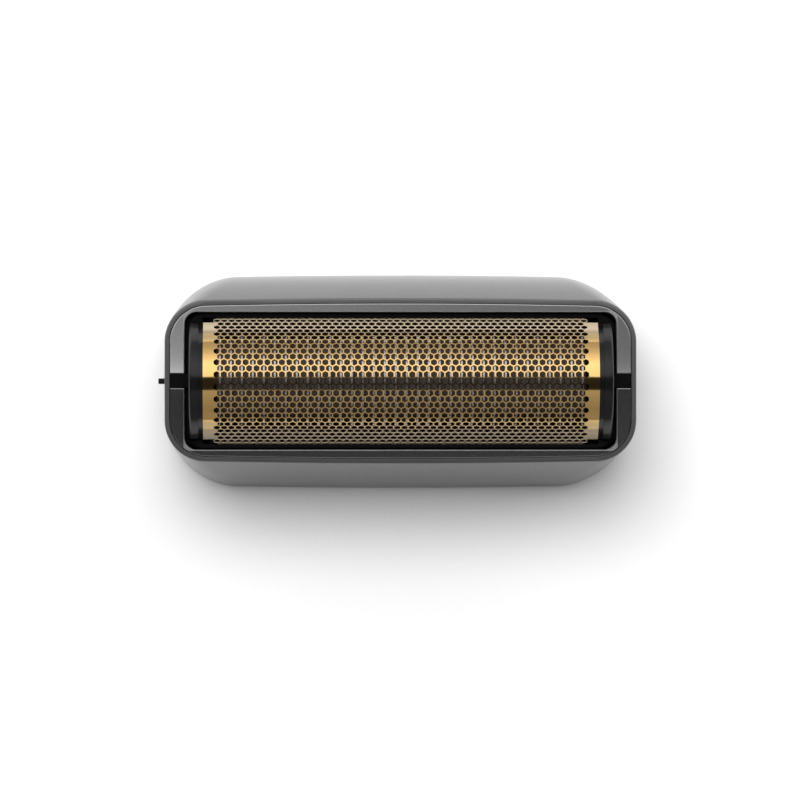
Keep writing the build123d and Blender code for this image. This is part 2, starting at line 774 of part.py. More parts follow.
# Beam: slots for the flat springs, studs for the coils, a tongue up and a drive boss down
with BuildPart() as oscillator_bridge:
    with BuildSketch(Plane.XY.offset(bridge_bottom)):
        RectangleRounded(bridge_length, bridge_width, bridge_corner)
        with GridLocations(2 * leaf_x, 0, 2, 1):
            Rectangle(
                leaf_thickness + 2 * leaf_slot_gap, leaf_width + 2 * fit_gap, mode=Mode.SUBTRACT
            )
    extrude(amount=leaf_grip)
    with BuildSketch(Plane.XY.offset(bridge_bottom + leaf_grip)):
        RectangleRounded(bridge_length, bridge_width, bridge_corner)
    extrude(amount=bridge_thickness - leaf_grip)
    with BuildSketch(Plane.XY.offset(bridge_top)):
        Rectangle(tongue_length, tongue_width)
    extrude(amount=tongue_top - bridge_top)
    with BuildSketch(Plane.XY.offset(bridge_top)):
        with GridLocations(2 * cutter_spring_x, 0, 2, 1):
            Circle(cutter_spring_radius - cutter_spring_wire / 2 - stud_gap)
    extrude(amount=stud_height)
    with BuildSketch(Plane.XY.offset(drive_boss_bottom)):
        Circle(drive_boss_radius)
    extrude(amount=bridge_bottom - drive_boss_bottom)
    with BuildSketch(Plane.XY.offset(drive_boss_bottom)):
        Circle(insert_radius + fit_gap / 2)
    extrude(amount=insert_length, mode=Mode.SUBTRACT)
oscillator_bridge.part.label = "oscillator_bridge"
export_step(oscillator_bridge.part, "parts/oscillator_bridge.step")

# Metal bush with a cross slot for the drive pin
with BuildPart() as drive_insert:
    with BuildSketch(Plane.XY.offset(drive_boss_bottom)):
        Circle(insert_radius)
    extrude(amount=insert_length)
    with BuildSketch(Plane.XY.offset(drive_boss_bottom)):
        SlotOverall(insert_slot_length, insert_slot_width, rotation=90)
    extrude(amount=insert_slot_depth, mode=Mode.SUBTRACT)
drive_insert.part.label = "drive_insert"
export_step(drive_insert.part, "parts/drive_insert.step")

# Flat springs
leaf_height = bridge_bottom + leaf_grip - chassis_top
for side, name in ((-1, "leaf_spring_left"), (1, "leaf_spring_right")):
    with BuildPart() as leaf_spring:
        with BuildSketch(Plane.YZ.offset(side * leaf_x)):
            with Locations((0, chassis_top + leaf_height / 2)):
                Rectangle(leaf_width, leaf_height - fit_gap)
                Rectangle(
                    leaf_window_width, leaf_height - 2 * leaf_grip - fit_gap, mode=Mode.SUBTRACT
                )
        extrude(amount=leaf_thickness / 2, both=True)
    leaf_spring.part.label = name
    export_step(leaf_spring.part, f"parts/{name}.step")

# Coils that press the cutter up
for side, name in ((-1, "cutter_spring_left"), (1, "cutter_spring_right")):
    cutter_spring = coil(
        (side * cutter_spring_x, 0, bridge_top),
        carrier_bottom + cutter_socket_depth - bridge_top,
        cutter_spring_radius,
        cutter_spring_wire,
        cutter_spring_turns,
    )
    cutter_spring.label = name
    export_step(cutter_spring, f"parts/{name}.step")

# Coils that float the frame
for end, end_name in ((-1, "left"), (1, "right")):
    for side, side_name in ((-1, "front"), (1, "back")):
        name = f"float_spring_{side_name}_{end_name}"
        float_spring = coil(
            (end * float_spring_x, side * float_spring_y, chassis_top),
            frame_bottom + float_socket_depth - chassis_top,
            float_spring_radius,
            float_spring_wire,
            float_spring_turns,
        )
        float_spring.label = name
        export_step(float_spring, f"parts/{name}.step")

# Release button: a face in the end wall, a flange behind it and a latch down into the socket
button_face_x = between(rim_length, base_length, button_z) / 2 + button_proud
flange_outer_x = between(rim_length, base_length, button_z) / 2 - shell_wall - button_wall_gap
flange_inner_x = flange_outer_x - button_flange_thickness
latch_web_bottom = button_z - button_height / 2
with BuildPart() as release_button:
    with BuildSketch(Plane.YZ.offset(-button_face_x)):
        with Locations((0, button_z)):
            RectangleRounded(button_width, button_height, button_corner)
    extrude(amount=button_face_x - flange_outer_x)
    with BuildSketch(Plane.YZ.offset(-button_face_x - grip_proud)):
        with Locations((0, button_z)):
            Rectangle(grip_width, grip_height)
    extrude(amount=grip_proud)
    with BuildSketch(Plane.YZ.offset(-flange_outer_x)):
        with Locations((0, latch_web_bottom)):
            Rectangle(
                button_width + 2 * button_flange_margin,
                button_height + button_flange_margin,
                align=(Align.CENTER, Align.MIN),
            )
    extrude(amount=button_flange_thickness)
    with BuildSketch(Plane.XZ):
        with BuildLine():
            Polyline(
                (-flange_inner_x, latch_web_bottom),
                (-hook_arm_x - hook_arm_thickness, latch_web_bottom),
                (-hook_arm_x - hook_arm_thickness, hook_bottom + hook_nose_height),
                (-hook_reach, hook_bottom + hook_nose_height),
                (-hook_arm_x - hook_arm_thickness, hook_bottom),
                (-hook_arm_x, hook_bottom),
                (-hook_arm_x, latch_web_bottom + latch_web_height),
                (-flange_inner_x, latch_web_bottom + latch_web_height),
                close=True,
            )
        make_face()
    extrude(amount=latch_arm_width / 2, both=True)
    with BuildSketch(Plane.YZ.offset(-flange_inner_x)):
        with Locations((0, release_spring_z)):
            Circle(release_spring_radius - release_spring_wire / 2 - stud_gap)
    extrude(amount=release_stud_height)
release_button.part.label = "release_button"
export_step(release_button.part, "parts/release_button.step")

# Coil behind the button
release_spring = coil(
    (-flange_inner_x, 0, release_spring_z),
    flange_inner_x - release_post_x,
    release_spring_radius,
    release_spring_wire,
    release_spring_turns,
    direction=(1, 0, 0),
)
release_spring.label = "release_spring"
export_step(release_spring, "parts/release_spring.step")
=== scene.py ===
import json
from math import atan2, cos, pi, radians, sin

import bpy
from mathutils import Matrix, Vector


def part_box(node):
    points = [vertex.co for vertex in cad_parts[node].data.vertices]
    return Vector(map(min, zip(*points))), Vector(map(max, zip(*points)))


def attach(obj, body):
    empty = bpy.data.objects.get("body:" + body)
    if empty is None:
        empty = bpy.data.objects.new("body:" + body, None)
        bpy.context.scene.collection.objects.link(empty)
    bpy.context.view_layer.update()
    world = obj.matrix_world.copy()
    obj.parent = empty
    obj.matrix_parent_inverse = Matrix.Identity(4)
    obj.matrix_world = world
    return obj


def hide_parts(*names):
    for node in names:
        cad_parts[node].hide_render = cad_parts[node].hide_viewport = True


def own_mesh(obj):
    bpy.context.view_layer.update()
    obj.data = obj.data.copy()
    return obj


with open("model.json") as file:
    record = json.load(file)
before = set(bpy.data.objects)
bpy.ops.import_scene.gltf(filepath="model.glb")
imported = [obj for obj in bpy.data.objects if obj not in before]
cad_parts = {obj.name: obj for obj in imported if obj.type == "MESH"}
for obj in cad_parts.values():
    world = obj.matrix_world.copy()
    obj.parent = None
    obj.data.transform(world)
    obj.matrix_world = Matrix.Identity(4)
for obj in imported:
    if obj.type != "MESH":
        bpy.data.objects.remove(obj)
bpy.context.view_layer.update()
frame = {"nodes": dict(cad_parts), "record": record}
mm = 0.001
hair = 0.01 * mm        # slack where points are picked by their place
cellWeld = 0.002 * mm   # points of neighbouring cells that merge
partWeld = 0.001 * mm   # points of one part that merge
print("frame loaded:", len(frame["nodes"]), "nodes")

# the camera looks straight down from far off, as the photograph does
cameraSetup = {
    "place": (-15.0, -2.6, 810.0),
    "target": (-0.08, -2.43, 26.0),
    "lens": 277.5,
    "sensor": 36.0,
    "clipStart": 0.01,
}


def addCamera(setup):
    data = bpy.data.cameras.new("studioCamera")
    data.lens = setup["lens"]
    data.sensor_width = setup["sensor"]
    data.clip_start = setup["clipStart"]
    camera = bpy.data.objects.new("studioCamera", data)
    bpy.context.scene.collection.objects.link(camera)
    place = Vector(setup["place"]) * mm
    back = (place - Vector(setup["target"]) * mm).normalized()
    across = Vector((0, 1, 0)).cross(back).normalized()
    up = back.cross(across)
    camera.matrix_world = Matrix.Translation(place) @ Matrix((across, up, back)).transposed().to_4x4()
    bpy.context.scene.camera = camera


addCamera(cameraSetup)


class Field:
    # a value or colour that varies over a surface
    def __init__(self, tree, socket):
        self.tree = tree
        self.socket = socket

    def join(self, operation, first, second=0.0):
        return self.tree.node("ShaderNodeMath", {"operation": operation}, {0: first, 1: second})

    def __add__(self, other):
        return self.join("ADD", self, other)

    def __radd__(self, other):
        return self.join("ADD", other, self)

    def __sub__(self, other):
        return self.join("SUBTRACT", self, other)

    def __rsub__(self, other):
        return self.join("SUBTRACT", other, self)

    def __mul__(self, other):
        return self.join("MULTIPLY", self, other)

    def __rmul__(self, other):
        return self.join("MULTIPLY", other, self)

    def __truediv__(self, other):
        return self.join("DIVIDE", self, other)

    def __rtruediv__(self, other):
        return self.join("DIVIDE", other, self)

    def __pow__(self, other):
        return self.join("POWER", self, other)

    def __abs__(self):
        return self.join("ABSOLUTE", self)


class NodeTree:
    def __init__(self, owner):
        owner.use_nodes = True
        self.tree = owner.node_tree
        self.tree.nodes.clear()

    def node(self, kind, settings=None, sockets=None, output=0):
        made = self.tree.nodes.new(kind)
        for name, value in (settings or {}).items():
            if name == "stops":
                ramp = made.color_ramp
                while len(ramp.elements) < len(value):
                    ramp.elements.new(1.0)
                for element, (position, level) in zip(ramp.elements, value):
                    element.position = position
                    element.color = (level, level, level, 1)
            else:
                setattr(made, name, value)
        for name, value in (sockets or {}).items():
            if isinstance(value, Field):
                self.tree.links.new(value.socket, made.inputs[name])
            elif isinstance(value, tuple) and len(value) == 3 and made.inputs[name].type == "RGBA":
                made.inputs[name].default_value = (*value, 1)
            else:
                made.inputs[name].default_value = value
        return Field(self, made.outputs[output]) if made.outputs else made

    def mix(self, mask, low, high, blend="MIX"):
        return self.node("ShaderNodeMix", {"data_type": "RGBA", "blend_type": blend}, {0: mask, 6: low, 7: high}, 2)

    def place(self):
        return self.node("ShaderNodeTexCoord", None, None, "Object")

    def part(self, vector, index):
        return self.node("ShaderNodeSeparateXYZ", None, {0: vector}, index)

    def noise(self, scale, stretch=(1, 1, 1), detail=3.0):
        spot = self.node("ShaderNodeMapping", None, {"Vector": self.place(), "Scale": stretch})
        return self.node("ShaderNodeTexNoise", None, {"Vector": spot, "Scale": scale, "Detail": detail})

    def ramp(self, value, low, high):
        return self.node(
            "ShaderNodeMapRange",
            {"interpolation_type": "SMOOTHSTEP"},
            {"Value": value, "From Min": low, "From Max": high, "To Min": 0.0, "To Max": 1.0},
        )


class Finish(NodeTree):
    def __init__(self, name):
        self.material = bpy.data.materials.new(name)
        super().__init__(self.material)

    def surface(self, **sockets):
        names = {name.replace("_", " "): value for name, value in sockets.items()}
        shader = self.node("ShaderNodeBsdfPrincipled", None, names)
        self.node("ShaderNodeOutputMaterial", None, {"Surface": shader})
        return self.material

    def bump(self, height, distance):
        return self.node("ShaderNodeBump", None, {"Height": height, "Distance": distance, "Strength": 1.0})

    def clouded(self, fine, grain):
        # the fine grain with a broad one under it
        broad = self.noise(grain * cloud["size"], detail=2.0)
        return fine * cloud["fineShare"] + broad * (1 - cloud["fineShare"])


cloud = {"size": 0.06, "fineShare": 0.35}

# the gold is deep on the crest; down the flanks it is darkened by painted shade and towards the feet paled by
# painted light, and the feet are duller
goldFoil = {
    "crestColour": (0.95, 0.61, 0.23),
    "flankPaintedShade": (0.46, 0.33, 0.16),
    "footPaintedLight": (0.68, 0.56, 0.40),
    "tarnish": (0.97, 0.95, 0.92),
    "flankShadeHeights": (28.7, 29.7),
    "footLightHeights": (26.9, 28.3),
    "dullHeights": (26.9, 28.1),
    "polish": 0.08,
    "polishSpread": 0.04,
    "dullness": 0.50,
    "footMetal": 0.35,
    "grain": 900.0,
    "relief": 0.0004,
}


def goldFinish(setup):
    finish = Finish("goldFoil")
    fine = finish.noise(setup["grain"])
    height = finish.part(finish.place(), 2)
    flankShade, footLight, bright = (
        finish.ramp(height, low * mm, high * mm)
        for low, high in (setup["flankShadeHeights"], setup["footLightHeights"], setup["dullHeights"])
    )
    # painted shade on the flanks and painted light at the feet, mixed in by height alone
    side = finish.mix(footLight, setup["footPaintedLight"], setup["flankPaintedShade"])
    paintedGold = finish.mix(flankShade, side, setup["crestColour"])
    tarnish = finish.mix(fine, setup["tarnish"], (1.0, 1.0, 1.0))
    return finish.surface(
        Base_Color=finish.mix(1.0, paintedGold, tarnish, "MULTIPLY"),
        Metallic=bright * (1 - setup["footMetal"]) + setup["footMetal"],
        Roughness=fine * setup["polishSpread"] + (1 - bright) * setup["dullness"] + setup["polish"],
        Normal=finish.bump(fine, setup["relief"] * mm),
    )


# a bump leans the bezel's flat top like a low roof, so that its back half catches the light
satinBezel = {
    "colour": (0.52, 0.52, 0.52),
    "darkest": 0.94,        # of the colour, in the grain
    "lean": 0.062,          # slope of the roof
    "leanShift": 0.25,      # how much more the left end leans
    "leanLength": 30.0,     # from the middle to an end
    "bend": 0.65,           # below 1, the roof is steeper near its ridge
    "halfSpan": 10.0,       # from the ridge to the side
    "polish": 0.20,
    "polishSpread": 0.05,
    "edgePolish": 0.55,     # of the bevel round the opening
    "openingX": 27.475,
    "openingY": 8.75,
    "edgeReach": 0.13,
    "edgeBlur": 0.2,        # of the reach, each way
    "grain": 1800.0,
    "stretch": (6, 1, 1),
    "relief": 0.0003,
}


def bezelFinish(setup):
    finish = Finish("satinBezel")
    fine = finish.noise(setup["grain"], setup["stretch"])
    along = finish.part(finish.place(), 0)
    span = setup["halfSpan"] * mm
    out = abs(finish.part(finish.place(), 1)) / span
    endLean = 1 - along * (setup["leanShift"] / (setup["leanLength"] * mm))
    fall = (out ** setup["bend"]) * endLean * (span * setup["lean"])
    beyondX = abs(along) - setup["openingX"] * mm
    beyond = beyondX.join("MAXIMUM", beyondX, out * span - setup["openingY"] * mm)
    reach = setup["edgeReach"] * mm
    edge = 1 - finish.ramp(beyond, reach * (1 - setup["edgeBlur"]), reach * (1 + setup["edgeBlur"]))
    tone = tuple(c * setup["darkest"] for c in setup["colour"])
    return finish.surface(
        Base_Color=finish.mix(fine, tone, setup["colour"]),
        Metallic=1.0,
        Roughness=fine * setup["polishSpread"] + edge * (setup["edgePolish"] - setup["polish"]) + setup["polish"],
        Normal=finish.bump(fine * (setup["relief"] * mm) - fall, 1.0),
    )


# the casing is satin on its sides, and coarser on the narrow land round the bezel
satinCasing = {
    "colour": (0.22, 0.22, 0.22),
    "darkest": 0.95,        # of the colour, in the grain
    "edgeTint": 0.62,
    "polish": 0.13,
    "polishSpread": 0.04,
    "landPolish": 0.42,
    "landHeights": (25.5, 25.9),
    "grain": 2500.0,
    "relief": 0.0006,
}


def casingFinish(setup):
    finish = Finish("satinGunmetal")
    fine = finish.noise(setup["grain"])
    low, high = setup["landHeights"]
    land = finish.ramp(finish.part(finish.place(), 2), low * mm, high * mm)
    tone = tuple(c * setup["darkest"] for c in setup["colour"])
    return finish.surface(
        Base_Color=finish.mix(finish.clouded(fine, setup["grain"]), tone, setup["colour"]),
        Metallic=1.0,
        Roughness=fine * setup["polishSpread"] + land * (setup["landPolish"] - setup["polish"]) + setup["polish"],
        Normal=finish.bump(fine, setup["relief"] * mm),
        Specular_Tint=(*[setup["edgeTint"]] * 3, 1.0),
    )


# the other finishes; shift and spread say how much the tone and the roughness vary
plainFinishes = {
    "cap_gloss": {
        "name": "glossBlack", "colour": (0.006, 0.006, 0.006), "shift": 0.3, "metal": 0.0, "specular": 0.35,
        "rough": 0.16, "spread": 0.05, "grain": 700, "relief": 0.0005,
    },
    "frame_plastic": {
        "name": "mattBlack", "colour": (0.002, 0.002, 0.002), "shift": 0.25, "metal": 0.0, "specular": 0.12,
        "rough": 0.42, "spread": 0.12, "grain": 2200, "relief": 0.002,
    },
    "inner_plastic": {
        "name": "darkMoulding", "colour": (0.060, 0.048, 0.042), "shift": 0.2, "metal": 0.0, "specular": 0.3,
        "rough": 0.48, "spread": 0.12, "grain": 2200, "relief": 0.004,
    },
    "bridge_plastic": {
        "name": "naturalAcetal", "colour": (0.75, 0.74, 0.70), "shift": 0.05, "metal": 0.0, "specular": 0.5,
        "rough": 0.38, "spread": 0.10, "grain": 1500, "relief": 0.004,
    },
    "button_plastic": {
        "name": "satinBlack", "colour": (0.006, 0.006, 0.006), "shift": 0.25, "metal": 0.0, "specular": 0.2,
        "rough": 0.40, "spread": 0.10, "grain": 2000, "relief": 0.002,
    },
    "blade_steel": {
        "name": "groundSteel", "colour": (0.46, 0.46, 0.46), "shift": 0.08, "metal": 1.0, "specular": 0.5,
        "rough": 0.28, "spread": 0.12, "grain": 2500, "stretch": (1, 6, 1), "relief": 0.002,
    },
    "spring_steel": {
        "name": "drawnSteel", "colour": (0.58, 0.58, 0.58), "shift": 0.10, "metal": 1.0, "specular": 0.5,
        "rough": 0.25, "spread": 0.10, "grain": 3000, "stretch": (1, 1, 5), "relief": 0.002,
    },
    "screw_steel": {
        "name": "zincPlate", "colour": (0.60, 0.60, 0.62), "shift": 0.10, "metal": 1.0, "specular": 0.5,
        "rough": 0.30, "spread": 0.10, "grain": 2500, "relief": 0.002,
    },
    "insert_brass": {
        "name": "turnedBrass", "colour": (0.80, 0.60, 0.30), "shift": 0.08, "metal": 1.0, "specular": 0.5,
        "rough": 0.26, "spread": 0.10, "grain": 2500, "stretch": (1, 1, 6), "relief": 0.002,
    },
    "seal_rubber": {
        "name": "softRubber", "colour": (0.022, 0.022, 0.022), "shift": 0.2, "metal": 0.0, "specular": 0.5,
        "rough": 0.62, "spread": 0.12, "grain": 1800, "relief": 0.008,
    },
}


def plainFinish(setup):
    # colour, gloss and relief all vary a little, the colour at two sizes
    finish = Finish(setup["name"])
    fine = finish.noise(setup["grain"], setup.get("stretch", (1, 1, 1)))
    darker = tuple(max(c * (1 - setup["shift"]), 0) for c in setup["colour"])
    lighter = tuple(min(c * (1 + setup["shift"]), 1) for c in setup["colour"])
    return finish.surface(
        Base_Color=finish.mix(finish.clouded(fine, setup["grain"]), darker, lighter),
        Metallic=setup["metal"],
        Roughness=fine * setup["spread"] + (setup["rough"] - setup["spread"] / 2),
        Normal=finish.bump(fine, setup["relief"] * mm),
        Specular_IOR_Level=setup["specular"],
    )


finishes = {
    "shell_metal": casingFinish(satinCasing),
    "ring_metal": bezelFinish(satinBezel),
    "foil_gold": goldFinish(goldFoil),
}
for slot, setup in plainFinishes.items():
    finishes[slot] = plainFinish(setup)

slotOf = {subpart["node"]: subpart["material_slot"] for subpart in frame["record"]["subparts"]}
bodyOf = {
    node: body for body, nodes in frame["record"]["behaviour"]["bodies"].items() for node in nodes
}
for name, slot in slotOf.items():
    node = frame["nodes"][name]
    node.data.materials.clear()
    node.data.materials.append(finishes[slot])
print("finishes on the frame's nodes:", len(slotOf))


def closeMesh():
    if bpy.context.mode == "EDIT_MESH":
        bpy.ops.object.mode_set(mode="OBJECT")


def choose(piece):
    closeMesh()
    bpy.ops.object.select_all(action="DESELECT")
    bpy.context.view_layer.objects.active = piece
    piece.select_set(True)


def openMesh(piece, kind="VERT", chosen="DESELECT"):
    choose(piece)
    bpy.ops.object.mode_set(mode="EDIT")
    bpy.ops.mesh.select_mode(type=kind)
    bpy.ops.mesh.select_all(action=chosen)


def pick(piece, test):
    # selects the points that pass a test of their place, and opens the mesh on them
    openMesh(piece)
    closeMesh()
    for point in piece.data.vertices:
        point.select = test(point.co)
    bpy.ops.object.mode_set(mode="EDIT")


def pickFaces(piece, test):
    # selects the faces that pass a test, and opens the mesh on them
    openMesh(piece, "FACE")
    closeMesh()
    for face in piece.data.polygons:
        face.select = test(face)
    bpy.ops.object.mode_set(mode="EDIT")


def drawOut(piece, axis, place, test):
    # extrudes the edge whose points pass a test, to a straight line across an axis
    pick(piece, test)
    bpy.ops.mesh.extrude_region_move()
    closeMesh()
    for point in piece.data.vertices:
        if point.select:
            point.co[axis] = place


def applyAll(piece):
    choose(piece)
    for modifier in list(piece.modifiers):
        bpy.ops.object.modifier_apply(modifier=modifier.name)


def repeat(piece, count, step):
    copies = piece.modifiers.new("repeat", "ARRAY")
    copies.count = count
    copies.use_relative_offset = False
    copies.use_constant_offset = True
    copies.constant_offset_displace = step
    copies.use_merge_vertices = True
    copies.merge_threshold = cellWeld
    applyAll(piece)


def addTo(piece, other):
    choose(piece)
    other.select_set(True)
    bpy.ops.object.join()


def standFor(piece, nodes):
    # the piece moves, and is finished, as the nodes that it takes the place of
    slot = slotOf[nodes[0]]
    piece.data.materials.clear()
    piece.data.materials.append(finishes[slot])
    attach(piece, bodyOf[nodes[0]])
    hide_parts(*nodes)


# foil: a sheet of hexagon cells, each with its hole, bent over the arch
foilSheet = {
    "pitch": 0.915,         # from hole to hole along a row
    "holeAcross": 0.77,     # between two flats of a hole
    "holeCorner": 0.035,    # how far the rounding of a corner reaches
    "columns": 51,          # in the middle row; its neighbours have one more
    "lastRow": 14,          # counted from the middle, each way
    "marginRows": 12,       # rows each side of the middle that the plain ends reach
    "marginSlack": 0.3,     # of a pitch, so that the whole of the last of them is taken in
    "length": 50.2,
    "thickness": 0.1,
    "crestZ": 31.4,
    "crestRadius": 6.9,
    "flankAngle": 56.0,
    "halfWidth": 8.05,
    "shoulderRadius": 2.6,
    "footZ": 19.3,
    "smoothAngle": 35,
}


def foilSection(sheet, distance):
    # where a point of the flat sheet lies once it is bent, from its distance round the arch
    lean = radians(sheet["flankAngle"])
    crest = sheet["crestRadius"]
    shoulder = sheet["shoulderRadius"]
    centreZ = sheet["crestZ"] - crest
    flankY = sheet["halfWidth"] - shoulder * (1 - sin(lean))
    flankRun = (flankY - crest * sin(lean)) / cos(lean)
    shoulderZ = centreZ + crest * cos(lean) - flankRun * sin(lean) - shoulder * cos(lean)
    flankStart = crest * lean
    shoulderStart = flankStart + flankRun
    footStart = shoulderStart + shoulder * (pi / 2 - lean)
    run = abs(distance)
    if run <= flankStart:
        y = crest * sin(run / crest)
        z = centreZ + crest * cos(run / crest)
    elif run <= shoulderStart:
        y = crest * sin(lean) + (run - flankStart) * cos(lean)
        z = centreZ + crest * cos(lean) - (run - flankStart) * sin(lean)
    elif run <= footStart:
        turned = lean + (run - shoulderStart) / shoulder
        y = sheet["halfWidth"] - shoulder * (1 - sin(turned))
        z = shoulderZ + shoulder * cos(turned)
    else:
        y = sheet["halfWidth"]
        z = shoulderZ - (run - footStart)
    return (y if distance >= 0 else -y), z


def footDistance(sheet):
    # past its shoulders the sheet runs straight down, so any far point gives the distance of its edge
    far = 30.0
    return far - (sheet["footZ"] - foilSection(sheet, far)[1])


def addFoil(sheet):
    pitch = sheet["pitch"] * mm
    cellSide = pitch / (2 * cos(pi / 6))
    rowPitch = 1.5 * cellSide
    lastRow = sheet["lastRow"] * rowPitch
    bpy.ops.object.select_all(action="DESELECT")
    bpy.ops.mesh.primitive_circle_add(vertices=6, radius=cellSide, fill_type="NGON")
    foil = bpy.context.object
    foil.name = "perforatedFoil"
    # two staggered rows, then pairs of them, and one more short row to end with
    bpy.ops.object.duplicate()
    longRow = bpy.context.object
    rows = (
        (foil, sheet["columns"], -lastRow),
        (longRow, sheet["columns"] + 1, rowPitch - lastRow),
    )
    for row, columns, y in rows:
        openMesh(row, chosen="SELECT")
        bpy.ops.transform.translate(value=((1 - columns) / 2 * pitch, y, 0))
        closeMesh()
        repeat(row, columns, (pitch, 0, 0))
    choose(foil)
    bpy.ops.object.duplicate()
    endRow = bpy.context.object
    endRow.data.transform(Matrix.Translation((0, 2 * lastRow, 0)))
    addTo(foil, longRow)
    repeat(foil, sheet["lastRow"], (0, 2 * rowPitch, 0))
    addTo(foil, endRow)
    openMesh(foil, chosen="SELECT")
    bpy.ops.mesh.remove_doubles(threshold=cellWeld)
    bpy.ops.mesh.normals_make_consistent(inside=False)
    # plain margins at the ends and along the feet
    fieldEnd = sheet["columns"] / 2 * pitch
    fieldSide = lastRow + cellSide / 2
    marginEdge = sheet["marginRows"] * rowPitch + sheet["marginSlack"] * pitch
    for side in (-1, 1):
        drawOut(
            foil, 0, side * sheet["length"] * mm / 2,
            lambda spot: side * spot.x > fieldEnd - hair and abs(spot.y) < marginEdge,
        )
    for side in (-1, 1):
        drawOut(foil, 1, side * footDistance(sheet) * mm, lambda spot: side * spot.y > fieldSide - hair)
    # a hole in every cell, with its corners rounded, so that a hole has 12 points
    pickFaces(foil, lambda face: len(face.vertices) == 6)
    bpy.ops.mesh.inset(thickness=(sheet["pitch"] - sheet["holeAcross"]) / 2 * mm, use_individual=True)
    bpy.ops.mesh.bevel(offset=sheet["holeCorner"] * mm, affect="VERTICES", segments=1)
    pickFaces(foil, lambda face: len(face.vertices) > 8)
    bpy.ops.mesh.delete(type="ONLY_FACE")
    closeMesh()
    for point in foil.data.vertices:
        y, z = foilSection(sheet, point.co.y / mm)
        point.co = (point.co.x, y * mm, z * mm)
    wall = foil.modifiers.new("wall", "SOLIDIFY")
    wall.thickness = sheet["thickness"] * mm
    wall.offset = -1
    applyAll(foil)
    bpy.ops.object.shade_smooth_by_angle(angle=radians(sheet["smoothAngle"]))
    standFor(foil, ["foil"])
    return foil


foil = addFoil(foilSheet)
print("foil:", len(foil.data.polygons), "faces")

# merged copies of the mouldings and metal parts, with eased edges and smooth curves
easedParts = {
    "head_shell": {
        "name": "casing", "edge": 0.0, "loops": (0.6, 1.2, 4, 8, 12, 16, 20, 23, 25.3, 25.74),
    },
    "foil_frame": {"name": "floatingFrame", "edge": 0.05},
    "foil_end_cap_left": {"name": "endSlabLeft", "edge": 0.0},
    "foil_end_cap_right": {"name": "endSlabRight", "edge": 0.0},
    "chassis": {"name": "innerPlate", "edge": 0.1},
    "oscillator_bridge": {"name": "driveBeam", "edge": 0.12},
    "release_button": {"name": "releaseButton", "edge": 0.08},
    "chassis_screws": {"name": "plateScrews", "edge": 0.04},
    "seal_gasket": {"name": "sealRing", "edge": 0.06},
    "drive_insert": {"name": "driveBush", "edge": 0.06},
}

# angles in degrees: what counts as flat, as an edge to ease, and as an edge to keep sharp
easing = {"flat": 0.6, "edge": 40, "sharp": 32, "segments": 2}


def easedCopy(node, setup):
    piece = bpy.data.objects.new(setup["name"], frame["nodes"][node].data.copy())
    bpy.context.scene.collection.objects.link(piece)
    openMesh(piece, chosen="SELECT")
    bpy.ops.mesh.remove_doubles(threshold=partWeld)
    if setup["edge"]:
        bpy.ops.mesh.dissolve_limited(angle_limit=radians(easing["flat"]))
    bpy.ops.mesh.normals_make_consistent(inside=False)
    # level loops keep the shading of the rounded edges off the tall faces between them
    for height in setup.get("loops", ()):
        bpy.ops.mesh.select_all(action="SELECT")
        bpy.ops.mesh.bisect(plane_co=(0, 0, height * mm), plane_no=(0, 0, 1))
    closeMesh()
    # the imported normals no longer fit once the points are merged
    bpy.ops.mesh.customdata_custom_splitnormals_clear()
    return piece


def smoothOff(piece, edge, weighted):
    if edge:
        bevel = piece.modifiers.new("easing", "BEVEL")
        bevel.width = edge * mm
        bevel.segments = easing["segments"]
        bevel.limit_method = "ANGLE"
        bevel.angle_limit = radians(easing["edge"])
        bevel.use_clamp_overlap = False
    applyAll(piece)
    bpy.ops.object.shade_smooth_by_angle(angle=radians(easing["sharp"]))
    if weighted:
        weights = piece.modifiers.new("weights", "WEIGHTED_NORMAL")
        weights.keep_sharp = True
        applyAll(piece)


for node, setup in easedParts.items():
    piece = easedCopy(node, setup)
    smoothOff(piece, setup["edge"], setup["edge"] > 0)
    standFor(piece, [node])
print("eased parts:", len(easedParts))

# bezel: a bowed slab with its opening and notches cut out, and a narrow bevel round its top
bezelShape = {
    "length": 58.7,
    "width": 19.7,
    "corner": 4.55,
    "cornerSteps": 16,
    "sideCrown": 1100.0,    # radius that the long sides bow to
    "crownCuts": 24,
    "bottom": 24.2,
    "top": 26.0,
    "openingLength": 54.95,
    "openingWidth": 17.5,
    "openingCorner": 1.5,
    "notchWidth": 1.85,
    "saddleLength": 0.75,   # the legs that tie the bezel under its notches
    "saddleWidth": 3.45,
    "saddleBottom": 22.0,
    "saddleFloor": 0.6,
    "saddleOverlap": 0.1,   # how far the legs reach up into the slab
    "toolReach": 1.0,       # how far the cutting slabs stand out past the bezel
    "flat": 0.05,           # degrees
    "bevel": 0.12,
}


def addSlab(length, width, corner, bottom, top, crown=None):
    bpy.ops.object.select_all(action="DESELECT")
    bpy.ops.mesh.primitive_plane_add(size=1)
    slab = bpy.context.object
    openMesh(slab, chosen="SELECT")
    bpy.ops.transform.resize(value=(length * mm, width * mm, 1))
    bpy.ops.transform.translate(value=(0, 0, bottom * mm))
    if corner:
        bpy.ops.mesh.bevel(offset=corner * mm, affect="VERTICES", segments=bezelShape["cornerSteps"])
    if crown:
        pick(slab, lambda spot: abs(spot.y) > width / 2 * mm - hair)
        bpy.ops.mesh.subdivide(number_cuts=bezelShape["crownCuts"])
        closeMesh()
        for point in slab.data.vertices:
            sag = crown * mm - ((crown * mm) ** 2 - point.co.x ** 2) ** 0.5
            point.co.y -= sag if point.co.y > 0 else -sag
        openMesh(slab)
    bpy.ops.mesh.select_all(action="SELECT")
    bpy.ops.mesh.extrude_region_move(TRANSFORM_OT_translate={"value": (0, 0, (top - bottom) * mm)})
    bpy.ops.mesh.select_all(action="SELECT")
    bpy.ops.mesh.normals_make_consistent(inside=False)
    closeMesh()
    return slab


